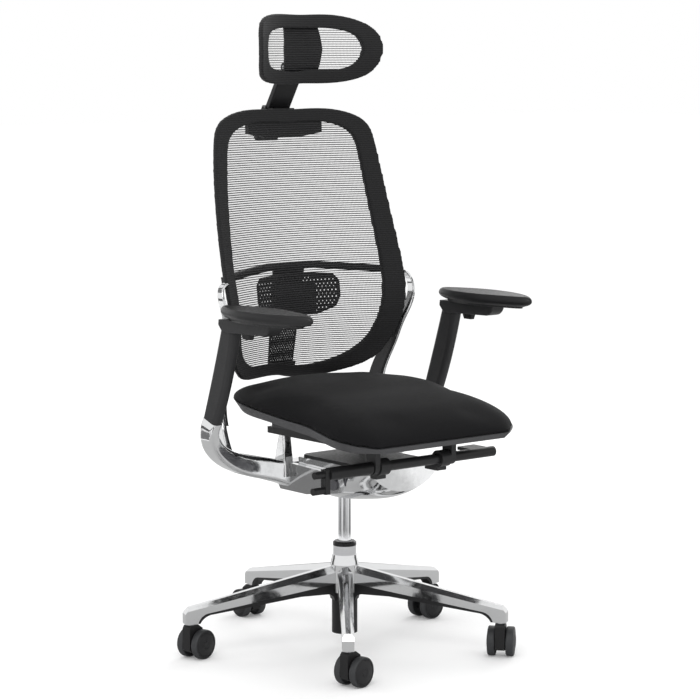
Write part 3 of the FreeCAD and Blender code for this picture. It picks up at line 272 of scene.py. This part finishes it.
def finishes():
    """Every finish of the chair, made once."""
    if FINISHES:
        return FINISHES
    c = colours()
    black = lighter(c.plastic, 0.5)
    FINISHES.update({
        "aluminium": polished_metal("polished_aluminium", c.metal, 0.075),
        "chrome": polished_metal("chrome_plate", (0.78, 0.785, 0.80), 0.05),
        "steel": ground_steel("ground_steel", (0.62, 0.62, 0.64)),
        "dark_steel": ground_steel("dark_steel", (0.16, 0.16, 0.17), 0.35),
        "plastic": moulded_plastic("moulded_plastic", c.plastic),
        "black": moulded_plastic("black_plastic", black, 0.36),
        "gloss": moulded_plastic("smooth_black_plastic", lighter(black, 0.8), 0.22, 2.0),
        "pan": moulded_plastic("seat_pan_plastic", lighter(c.plastic, 2.4), 0.5, 0.9),
        "pad": moulded_plastic("soft_pad_skin", lighter(c.plastic, 0.6), 0.36, 1.1),
        "paint": moulded_plastic("satin_black_paint", lighter(black, 1.7), 0.34, 1.6),
        "seat": woven_fabric("woven_seat_fabric", c.fabric, 1.6 * MM),
        "knit": knitted_fabric("knitted_border", c.knit, sizes().strand_pitch),
        "thread": Finish("mesh_thread", (0.022, 0.022, 0.023), 0.55, Specular_IOR_Level=0.3),
        "tyre": moulded_plastic("wheel_tread", (0.032, 0.033, 0.035), 0.5, 0.8),
        "disc": moulded_plastic("wheel_disc", (0.014, 0.014, 0.015), 0.34, 1.5),
    })
    thread = FINISHES["thread"]
    thread.tint(thread.noise(5 * MM, 3.0), (0.04, 0.04, 0.042))
    return FINISHES


def coat(piece, finish):
    """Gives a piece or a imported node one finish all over."""
    piece.data.materials.clear()
    piece.data.materials.append(finishes()[finish].material)
    return piece


def coat_nodes(**names):
    for finish, nodes in names.items():
        for node in nodes:
            coat(frame["nodes"][node], finish)


# ---------------------------------------------------------------- modelling helpers

def alone(piece):
    """Selects one piece and nothing else."""
    if bpy.context.object and bpy.context.object.mode != "OBJECT":
        bpy.ops.object.mode_set(mode="OBJECT")
    bpy.ops.object.select_all(action="DESELECT")
    piece.select_set(True)
    bpy.context.view_layer.objects.active = piece
    return piece


def named(name):
    """Names the new active piece and fixes its place in its mesh."""
    piece = bpy.context.object
    piece.name = piece.data.name = name
    alone(piece)
    bpy.ops.object.transform_apply(location=True, rotation=True, scale=True)
    return piece


def copy_of(node, name):
    """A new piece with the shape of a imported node, its loose triangles merged."""
    source = frame["nodes"][node]
    piece = bpy.data.objects.new(name, source.data.copy())
    piece.data.name = name
    bpy.context.scene.collection.objects.link(piece)
    alone(piece)
    bpy.ops.object.mode_set(mode="EDIT")
    bpy.ops.mesh.select_all(action="SELECT")
    bpy.ops.mesh.remove_doubles(threshold=0.01 * MM)
    bpy.ops.mesh.customdata_custom_splitnormals_clear()
    bpy.ops.mesh.normals_make_consistent(inside=False)
    bpy.ops.object.mode_set(mode="OBJECT")
    return piece


def add_modifier(piece, kind, **settings):
    modifier = piece.modifiers.new(kind.lower(), kind)
    for key, value in settings.items():
        setattr(modifier, key, value)
    return modifier


def apply_modifiers(piece):
    alone(piece)
    for modifier in list(piece.modifiers):
        bpy.ops.object.modifier_apply(modifier=modifier.name)
    return piece


def softened(piece, voxel, passes, strength=0.5):
    """Rounds a piece's edges as a knitted or moulded skin does."""
    add_modifier(piece, "REMESH", mode="VOXEL", voxel_size=voxel)
    add_modifier(piece, "SMOOTH", factor=strength, iterations=passes)
    apply_modifiers(piece)
    bpy.ops.object.shade_smooth()
    return piece


def edit_faces(piece, wanted):
    """Enters edit mode with only the faces selected whose middle and normal are wanted."""
    alone(piece)
    bpy.ops.object.mode_set(mode="EDIT")
    bpy.ops.mesh.select_mode(type="FACE")
    bpy.ops.mesh.select_all(action="DESELECT")
    bpy.ops.object.mode_set(mode="OBJECT")
    for face in piece.data.polygons:
        face.select = wanted(face.center, face.normal)
    bpy.ops.object.mode_set(mode="EDIT")


def repeated(piece, places, name):
    """One joined piece from a copy of a piece at each place."""
    copies = []
    for place in places:
        made = bpy.data.objects.new(name, piece.data.copy())
        made.data.transform(Matrix.Translation(place))
        bpy.context.scene.collection.objects.link(made)
        copies.append(made)
    bpy.data.objects.remove(piece)
    alone(copies[0])
    for made in copies:
        made.select_set(True)
    bpy.ops.object.join()
    return named(name)


def pierced(piece, places, radius, sides=10):
    """Drills holes from front to back through a piece at the places given in front view."""
    low, high = piece_box(piece)
    bpy.ops.object.select_all(action="DESELECT")
    bpy.ops.mesh.primitive_cylinder_add(vertices=sides, radius=radius, depth=high.y - low.y + 0.02,
                                        rotation=(math.pi / 2, 0, 0))
    drill = named("drill")
    middle = (low.y + high.y) / 2
    drills = repeated(drill, [(x, middle, z) for x, z in places], "drills")
    add_modifier(piece, "BOOLEAN", operation="DIFFERENCE", object=drills, solver="EXACT")
    apply_modifiers(piece)
    bpy.data.objects.remove(drills)
    return piece


def piece_box(piece):
    points = [vertex.co for vertex in piece.data.vertices]
    return (Vector([min(p[axis] for p in points) for axis in range(3)]),
            Vector([max(p[axis] for p in points) for axis in range(3)]))


def staggered(low, high, across, up, keep):
    """Places of a staggered grid in front view that pass a test."""
    places = []
    rows = int((high[1] - low[1]) / up) + 1
    columns = int((high[0] - low[0]) / across) + 2
    for row in range(rows):
        for column in range(columns):
            x = low[0] + (column - (row % 2) / 2) * across
            z = low[1] + row * up
            if keep(x, z):
                places.append((x, z))
    return places


def stand_for(piece, body, finish, *nodes):
    """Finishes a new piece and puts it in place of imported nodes."""
    if finish:
        coat(piece, finish)
    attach(piece, body)
    if nodes:
        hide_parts(*nodes)
    return piece


# ---------------------------------------------------------------- base

class CHAIR_OT_base(bpy.types.Operator):
    """Finish the five-legged base and its underframe"""
    bl_idname = "chair.base"
    bl_label = "Base"

    def execute(self, context):
        coat_nodes(aluminium=["star_base"], black=["base_underframe"], steel=["caster_stems"])
        return {"FINISHED"}


WHEEL_SIDES = 56
WHEEL_DOME = 3.0 * MM
WHEEL_BEVEL = 3.2 * MM
WHEEL_TREAD = 2.5 * MM
WHEEL_CREASE = math.radians(34)
# each step of a face goes in from the last and then out, in millimetres
WHEEL_OUTER_STEPS = ((2.2, 0.0), (0.7, -0.9), (0.8, 0.9), (4.0, 0.9),
                     (6.0, 1.2), (6.0, 0.7), (1.0, -0.8), (0.8, 0.9))
WHEEL_INNER_STEPS = ((3.0, 0.0), (0.6, 2.0))


def turned_wheel(name, radius, depth):
    """A wheel on the Z axis from its inner face at 0 to the top of its domed outer face."""
    bpy.ops.object.select_all(action="DESELECT")
    rim = depth - WHEEL_DOME
    bpy.ops.mesh.primitive_cylinder_add(vertices=WHEEL_SIDES, radius=radius, depth=rim,
                                        location=(0, 0, rim / 2))
    wheel = named(name)
    edit_faces(wheel, lambda middle, normal: abs(normal.z) > 0.9)
    bpy.ops.mesh.bevel(offset=WHEEL_BEVEL, segments=4, affect="EDGES")
    edit_faces(wheel, lambda middle, normal: normal.z > 0.9 and middle.z > rim - 0.01 * MM)
    for inset, rise in WHEEL_OUTER_STEPS:
        bpy.ops.mesh.inset(thickness=inset * MM, depth=0)
        bpy.ops.transform.translate(value=(0, 0, rise * MM))
    bpy.ops.object.mode_set(mode="OBJECT")
    edit_faces(wheel, lambda middle, normal: normal.z < -0.9)
    for inset, rise in WHEEL_INNER_STEPS:
        bpy.ops.mesh.inset(thickness=inset * MM, depth=0)
        bpy.ops.transform.translate(value=(0, 0, rise * MM))
    bpy.ops.object.mode_set(mode="OBJECT")
    bpy.ops.object.shade_smooth_by_angle(angle=WHEEL_CREASE)
    coat(wheel, "tyre")
    wheel.data.materials.append(finishes()["disc"].material)
    for face in wheel.data.polygons:
        face.material_index = int(face.center.xy.length < radius - WHEEL_TREAD)
    return wheel


class CHAIR_OT_casters(bpy.types.Operator):
    """Build the twin wheels and finish the forks"""
    bl_idname = "chair.casters"
    bl_label = "Casters"

    def execute(self, context):
        for number in CASTERS:
            coat_nodes(black=["caster_%d_fork" % number], steel=["caster_%d_axle" % number])
            for side in SIDES:
                node = "caster_%d_wheel_%s" % (number, side)
                joint = JOINTS["wheel_%d_%s_spin" % (number, side)]
                axis, hub = Vector(joint["axis"]), Vector(joint["pos_m"])
                packed = frame["nodes"][node].data
                along = [(vertex.co - hub).dot(axis) for vertex in packed.vertices]
                if sum(along) < 0:
                    axis, along = -axis, [-step for step in along]
                wheel = turned_wheel("wheel_%d_%s" % (number, side), hub.z, max(along) - min(along))
                turn = axis.to_track_quat("Z", "Y").to_matrix().to_4x4()
                wheel.data.transform(Matrix.Translation(hub + axis * min(along)) @ turn)
                stand_for(wheel, "wheel_%d_%s" % (number, side), None, node)
        return {"FINISHED"}


class CHAIR_OT_lift(bpy.types.Operator):
    """Finish the gas lift"""
    bl_idname = "chair.lift"
    bl_label = "Gas lift"

    def execute(self, context):
        coat_nodes(chrome=["lift_outer_tube", "lift_column"], gloss=["lift_top_ring"],
                   steel=["lift_bearing", "lift_rod"])
        return {"FINISHED"}


class CHAIR_OT_mechanism(bpy.types.Operator):
    """Finish the tilt mechanism, front bar and levers"""
    bl_idname = "chair.mechanism"
    bl_label = "Mechanism"

    def execute(self, context):
        coat_nodes(aluminium=["mech_housing"], black=["mech_cover", "height_lever", "depth_lever"],
                   dark_steel=["tilt_axle", "tilt_springs"],
                   paint=["front_bar", "bar_clamps", "seat_frame"])
        return {"FINISHED"}


class CHAIR_OT_yoke(bpy.types.Operator):
    """Finish the polished yoke and its struts"""
    bl_idname = "chair.yoke"
    bl_label = "Yoke"

    def execute(self, context):
        coat_nodes(aluminium=["yoke", "seat_struts"], paint=["arm_stems"])
        coat_nodes(plastic=["upright_liner_" + side for side in SIDES])
        return {"FINISHED"}


# ---------------------------------------------------------------- seat

def inflated(piece, steps, pressure, cap, pinned):
    """Swells a piece as foam under a stretched cover.

    Pinned vertices stay, and no point moves further than the cap."""
    start = [vertex.co.copy() for vertex in piece.data.vertices]
    hold = piece.vertex_groups.new(name="hold")
    hold.add([vertex.index for vertex in piece.data.vertices if pinned(vertex.co)], 1.0, "REPLACE")
    cloth = add_modifier(piece, "CLOTH")
    cloth.settings.quality = 5
    cloth.settings.mass = 0.4
    cloth.settings.tension_stiffness = 18
    cloth.settings.bending_stiffness = 12
    cloth.settings.vertex_group_mass = "hold"
    cloth.settings.use_pressure = True
    cloth.settings.uniform_pressure_force = pressure
    cloth.settings.effector_weights.gravity = 0
    cloth.collision_settings.use_collision = False
    cloth.point_cache.frame_end = steps
    for step in range(1, steps + 1):
        bpy.context.scene.frame_set(step)
    apply_modifiers(piece)
    bpy.context.scene.frame_set(1)
    for vertex, rest in zip(piece.data.vertices, start):
        moved = vertex.co - rest
        if moved.length > cap:
            vertex.co = rest + moved * (cap / moved.length)
    piece.vertex_groups.clear()
    return piece


class CHAIR_OT_seat(bpy.types.Operator):
    """Build the foam seat under its woven cover, and finish the pan"""
    bl_idname = "chair.seat"
    bl_label = "Seat"

    def execute(self, context):
        coat_nodes(pan=["seat_pan"])
        cushion = copy_of("seat_cushion", "seat_cover")
        softened(cushion, sizes().seat_voxel, 3)
        floor = {}
        for vertex in cushion.data.vertices:
            key = round(vertex.co.y / SEAM_BAND)
            floor[key] = min(floor.get(key, 9), vertex.co.z)

        def above_seam(co):
            return co.z - floor[round(co.y / SEAM_BAND)]

        inflated(cushion, SWELL_STEPS, SWELL_PRESSURE, sizes().seat_swell,
                 lambda co: above_seam(co) < SEAM_HOLD)
        crown = cushion.vertex_groups.new(name="crown")
        for vertex in cushion.data.vertices:
            share = min(1.0, max(0.0, above_seam(vertex.co) / CROWN_RISE))
            crown.add([vertex.index], share, "REPLACE")
        add_modifier(cushion, "SMOOTH", factor=0.5, iterations=90, vertex_group="crown")
        add_modifier(cushion, "SMOOTH", factor=0.5, iterations=4)
        add_modifier(cushion, "SUBSURF", levels=1, render_levels=1)
        apply_modifiers(cushion)
        cushion.vertex_groups.clear()
        bpy.ops.object.shade_smooth()
        stand_for(cushion, "seat", "seat", "seat_cushion")
        return {"FINISHED"}


# ---------------------------------------------------------------- back

def grid_sheet(name, low, high, columns, rows):
    """A flat upright grid in front view, from one corner to the other."""
    bpy.ops.object.select_all(action="DESELECT")
    bpy.ops.mesh.primitive_grid_add(x_subdivisions=columns, y_subdivisions=rows, size=1.0,
                                    rotation=(math.pi / 2, 0, 0),
                                    location=((low[0] + high[0]) / 2, 0, (low[1] + high[1]) / 2))
    piece = bpy.context.object
    piece.scale = (high[0] - low[0], high[1] - low[1], 1)
    return named(name)


def missed(co):
    """Whether a grid point found no sheet behind it and stayed on the grid's plane."""
    return abs(co.y) < GRID_PLANE


def carry_past_edge(grid, upright):
    """Carries each thread one step straight on past the last point that found the sheet."""
    along = 2 if upright else 0
    beside = {vertex.index: [] for vertex in grid.vertices}
    for edge in grid.edges:
        a, b = edge.vertices
        if abs(grid.vertices[a].co[along] - grid.vertices[b].co[along]) > 1 * MM:
            beside[a].append(b)
            beside[b].append(a)
    carried = {}
    for index, others in beside.items():
        if not missed(grid.vertices[index].co):
            continue
        for last in others:
            before = [i for i in beside[last] if i != index and not missed(grid.vertices[i].co)]
            if before and not missed(grid.vertices[last].co):
                carried[index] = 2 * grid.vertices[last].co.y - grid.vertices[before[0]].co.y
    for index, depth in carried.items():
        grid.vertices[index].co.y = depth


def woven_threads(name, node, upright, share=1.0):
    """Threads of an open mesh in one direction, lying on a packed sheet; share thins them."""
    low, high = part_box(node)
    pitch = sizes().warp_pitch if upright else sizes().strand_pitch
    thick = share * (sizes().warp_thick if upright else sizes().strand_thick)
    long_side = high[2] - low[2] if upright else high[0] - low[0]
    across = high[0] - low[0] if upright else high[2] - low[2]
    count, steps = int(across / pitch), max(10, int(long_side / THREAD_STEP))
    columns, rows = (count, steps) if upright else (steps, count)
    threads = grid_sheet(name, (low[0], low[2]), (high[0], high[2]), columns, rows)
    sheet = frame["nodes"][node]
    add_modifier(threads, "SHRINKWRAP", target=sheet, wrap_method="PROJECT", use_project_y=True,
                 use_project_x=False, use_project_z=False, use_negative_direction=False,
                 use_positive_direction=True)
    apply_modifiers(threads)
    carry_past_edge(threads.data, upright)
    bpy.ops.object.mode_set(mode="EDIT")
    bpy.ops.mesh.select_mode(type="VERT")
    bpy.ops.mesh.select_all(action="DESELECT")
    bpy.ops.object.mode_set(mode="OBJECT")
    for vertex in threads.data.vertices:
        vertex.select = missed(vertex.co)
    bpy.ops.object.mode_set(mode="EDIT")
    bpy.ops.mesh.delete(type="VERT")
    bpy.ops.mesh.select_mode(type="EDGE")
    bpy.ops.mesh.select_all(action="DESELECT")
    bpy.ops.object.mode_set(mode="OBJECT")
    for edge in threads.data.edges:
        a, b = (threads.data.vertices[i].co for i in edge.vertices)
        rise = abs(a.z - b.z) > abs(a.x - b.x)
        edge.select = rise != upright
    bpy.ops.object.mode_set(mode="EDIT")
    bpy.ops.mesh.delete(type="EDGE_FACE")
    bpy.ops.object.mode_set(mode="OBJECT")
    alone(threads)
    bpy.ops.object.convert(target="CURVE")
    threads = bpy.context.object
    threads.data.bevel_depth = thick / 2
    threads.data.bevel_resolution = 0 if upright else 1
    threads.data.use_fill_caps = True
    bpy.ops.object.convert(target="MESH")
    threads = named(name)
    bpy.ops.object.shade_smooth()
    return threads


class CHAIR_OT_back_border(bpy.types.Operator):
    """Build the knitted border round the back"""
    bl_idname = "chair.back_border"
    bl_label = "Back border"

    def execute(self, context):
        border = softened(copy_of("back_frame", "back_border"), 3 * MM, 4)
        stand_for(border, "back", "knit", "back_frame")
        return {"FINISHED"}


class CHAIR_OT_back_mesh(bpy.types.Operator):
    """Weave the open mesh of the back"""
    bl_idname = "chair.back_mesh"
    bl_label = "Back mesh"

    def execute(self, context):
        for name, upright in (("back_mesh_strands", False), ("back_mesh_warp", True)):
            threads = woven_threads(name, "back_mesh", upright)
            stand_for(threads, "back", "thread", *(() if upright else ("back_mesh",)))
        return {"FINISHED"}


WING_RIM = 7 * MM          # solid edge round the pierced part of the pad
WING_START = 0.55          # share of the half width where the lower edge starts to rise
WING_RISE = 0.4
WING_DROP = 0.08
WING_HOLE = 2.3 * MM
LUMBAR_CORE = 56 * MM      # half width of the solid middle
LUMBAR_BROW = 20 * MM      # height of the pierced strip above the middle
SPINE_HALF = 31 * MM
SPINE_HOLE = 1.7 * MM


class CHAIR_OT_lumbar(bpy.types.Operator):
    """Pierce the lumbar pad and the spine, and finish them"""
    bl_idname = "chair.lumbar"
    bl_label = "Lumbar support"

    def execute(self, context):
        low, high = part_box("lumbar_pad")
        core = (low[2] + high[2]) / 2
        half = high[0]

        def on_wing(x, z):
            floor = low[2] + WING_RIM + max(0, abs(x) - half * WING_START) * WING_RISE
            roof = high[2] - WING_RIM - abs(x) * WING_DROP
            in_core = abs(x) <= LUMBAR_CORE and z <= high[2] - LUMBAR_BROW
            return floor < z < roof and abs(x) < half - WING_RIM and not in_core

        pad = copy_of("lumbar_pad", "lumbar_plate")
        holes = staggered((-half, low[2]), (half, high[2]), 9.4 * MM, 7.6 * MM, on_wing)
        pierced(pad, holes, WING_HOLE)
        stand_for(pad, "lumbar", "black", "lumbar_pad")
        foot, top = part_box("lumbar_frame")
        spine = copy_of("lumbar_frame", "lumbar_spine")
        holes = staggered((-40 * MM, foot[2] + 26 * MM), (40 * MM, core - 62 * MM),
                          6.4 * MM, 5.4 * MM, lambda x, z: abs(x) < SPINE_HALF)
        pierced(spine, holes, SPINE_HOLE, 8)
        stand_for(spine, "back", "black", "lumbar_frame")
        return {"FINISHED"}


# ---------------------------------------------------------------- headrest

class CHAIR_OT_headrest(bpy.types.Operator):
    """Build the headrest's border and mesh, and finish its bracket"""
    bl_idname = "chair.headrest"
    bl_label = "Headrest"

    def execute(self, context):
        coat_nodes(black=["headrest_plate", "headrest_neck", "headrest_bracket"],
                   steel=["headrest_pin"])
        border = softened(copy_of("headrest_frame", "headrest_border"), 3 * MM, 4)
        stand_for(border, "headrest", "knit", "headrest_frame")
        for name, upright in (("headrest_mesh_strands", False), ("headrest_mesh_warp", True)):
            threads = woven_threads(name, "headrest_mesh", upright, 0.78)
            stand_for(threads, "headrest", "thread", *(() if upright else ("headrest_mesh",)))
        return {"FINISHED"}


# ---------------------------------------------------------------- arms

class CHAIR_OT_arms(bpy.types.Operator):
    """Build the soft arm pads and finish the arm shells and buttons"""
    bl_idname = "chair.arms"
    bl_label = "Arms"

    def execute(self, context):
        for side in SIDES:
            coat_nodes(plastic=["arm_shell_" + side], black=["arm_button_" + side])
            pad = softened(copy_of("arm_pad_" + side, "arm_cushion_" + side), 1.8 * MM, 3)
            stand_for(pad, "arm_%s_pad" % side, "pad", "arm_pad_" + side)
        return {"FINISHED"}


# ---------------------------------------------------------------- stage

CAMERA_PLACE = Vector((-3.31347, -4.07723, 1.31141))
CAMERA_YAW = math.radians(39.22756)
CAMERA_PITCH = math.radians(7.12834)
CAMERA_LENS = 125.95
CAMERA_FILM = 36.0
CAMERA_SIGHT = 200.0       # furthest that the camera sees

# cards round the chair and on the floor, which put streaks into the polished metal
WALL_CARDS, WALL_REACH, WALL_GREYS = 9, 2.6, (0.02, 0.14)
FLOOR_CARDS, FLOOR_REACH = 13, 3.7
FLOOR_WIDTHS, FLOOR_GREYS = (0.6, 0.35, 0.85), (0.32, 0.6, 0.16)


def card(name, place, turn, width, height, grey):
    """A studio card that only reflections show; turn is its rotation."""
    bpy.ops.object.select_all(action="DESELECT")
    bpy.ops.mesh.primitive_plane_add(size=1.0, location=place, rotation=turn)
    made = bpy.context.object
    made.name = name
    made.scale = (width, height, 1)
    reflected_only(made, grey)


def band(name, radius, low, high, grey):
    """A studio card bent into a ring round the chair."""
    bpy.ops.object.select_all(action="DESELECT")
    bpy.ops.mesh.primitive_cylinder_add(vertices=72, radius=radius, depth=high - low,
                                        location=(0, 0, (low + high) / 2), end_fill_type="NOTHING")
    made = bpy.context.object
    made.name = name
    reflected_only(made, grey)


def reflected_only(made, grey):
    """Leaves a piece of the stage showing in reflections and nowhere else."""
    finish = Finish(made.name + "_paper", (grey,) * 3, 0.9)
    made.data.materials.append(finish.material)
    made.visible_camera = False
    made.visible_shadow = False
    made.visible_diffuse = False


def softbox(name, place, target, width, height, power):
    bpy.ops.object.light_add(type="AREA", location=place)
    lamp = bpy.context.object
    lamp.name = name
    lamp.data.shape = "RECTANGLE"
    lamp.data.size, lamp.data.size_y = width, height
    lamp.data.energy = power
    lamp.rotation_euler = (Vector(target) - Vector(place)).to_track_quat("-Z", "Y").to_euler()


class CHAIR_OT_stage(bpy.types.Operator):
    """Set the floor, soft light and camera"""
    bl_idname = "chair.stage"
    bl_label = "Stage"

    def execute(self, context):
        scene = context.scene
        scene.view_settings.view_transform = "Standard"
        bpy.ops.object.select_all(action="DESELECT")
        bpy.ops.mesh.primitive_plane_add(size=sizes().floor_side, location=(0, 0, 0))
        floor = bpy.context.object
        floor.name = "studio_floor"
        paper = Finish("studio_floor_paper", colours().floor, 0.8, Specular_IOR_Level=0.0,
                       Emission_Strength=0.09)
        floor.data.materials.append(paper.material)
        world = bpy.data.worlds.new("studio_air")
        world.use_nodes = True
        air = world.node_tree.nodes["Background"]
        air.inputs["Color"].default_value = (1.0, 1.0, 1.0, 1.0)
        air.inputs["Strength"].default_value = 1.0
        scene.world = world
        softbox("key_light", (-2.6, -2.2, 3.4), (0, 0, 0.6), 2.4, 1.6, 42)
        softbox("rim_light", (3.0, 1.6, 2.6), (0, 0, 0.7), 1.6, 2.4, 30)
        for number in range(WALL_CARDS):
            turn = 2 * math.pi / WALL_CARDS * number + 0.25
            place = (WALL_REACH * math.sin(turn), -WALL_REACH * math.cos(turn), 2.0)
            card("card_%d" % number, place, (math.pi / 2, 0, turn), 0.4, 1.4,
                 WALL_GREYS[number % 2])
        for number in range(FLOOR_CARDS):
            turn = 2 * math.pi / FLOOR_CARDS * number + 0.1
            place = (FLOOR_REACH * math.sin(turn), -FLOOR_REACH * math.cos(turn), 0.004)
            card("floor_card_%d" % number, place, (0, 0, turn), FLOOR_WIDTHS[number % 3], 5.0,
                 FLOOR_GREYS[number % 3])
        bpy.ops.object.select_all(action="DESELECT")
        bpy.ops.mesh.primitive_circle_add(vertices=64, radius=1.15, fill_type="NGON",
                                          location=(0, 0, 0.003))
        bpy.context.object.name = "floor_disc"
        reflected_only(bpy.context.object, 0.5)
        band("card_low_band", 3.6, 0.1, 0.42, 0.08)
        band("card_high_band", 2.7, 2.1, 2.4, 0.08)
        card("card_over", (0.6, -0.9, 3.0), (0, 0, 0.6), 2.6, 0.7, 0.015)
        card("card_over_back", (-0.5, 1.3, 3.0), (0, 0, 0.6), 2.6, 0.6, 0.015)
        bpy.ops.object.camera_add(location=CAMERA_PLACE,
                                  rotation=(math.pi / 2 - CAMERA_PITCH, 0, -CAMERA_YAW))
        camera = bpy.context.object
        camera.name = "camera"
        camera.data.lens = CAMERA_LENS
        camera.data.sensor_width = CAMERA_FILM
        camera.data.clip_end = CAMERA_SIGHT
        scene.camera = camera
        return {"FINISHED"}


# ---------------------------------------------------------------- panel and run

OPERATORS = (CHAIR_OT_base, CHAIR_OT_casters, CHAIR_OT_lift, CHAIR_OT_mechanism, CHAIR_OT_yoke,
             CHAIR_OT_seat, CHAIR_OT_back_border, CHAIR_OT_back_mesh, CHAIR_OT_lumbar,
             CHAIR_OT_headrest, CHAIR_OT_arms, CHAIR_OT_stage)


class CHAIR_PT_panel(bpy.types.Panel):
    """Sizes, colours and the pieces of the chair"""
    bl_idname = "CHAIR_PT_panel"
    bl_label = "Office Chair"
    bl_space_type = "VIEW_3D"
    bl_region_type = "UI"
    bl_category = "Chair"

    def draw(self, context):
        for group in (context.scene.chair_sizes, context.scene.chair_colours):
            for key in group.__annotations__:
                self.layout.prop(group, key)
        for operator in OPERATORS:
            self.layout.operator(operator.bl_idname)


CLASSES = (ChairSizes, ChairColours) + OPERATORS + (CHAIR_PT_panel,)


def register():
    for item in CLASSES:
        bpy.utils.register_class(item)
    bpy.types.Scene.chair_sizes = bpy.props.PointerProperty(type=ChairSizes)
    bpy.types.Scene.chair_colours = bpy.props.PointerProperty(type=ChairColours)


def unregister():
    del bpy.types.Scene.chair_colours
    del bpy.types.Scene.chair_sizes
    for item in reversed(CLASSES):
        bpy.utils.unregister_class(item)


def main():
    register()
    for operator in OPERATORS:
        getattr(bpy.ops.chair, operator.bl_idname.split(".")[1])()


if __name__ == "__main__":
    main()
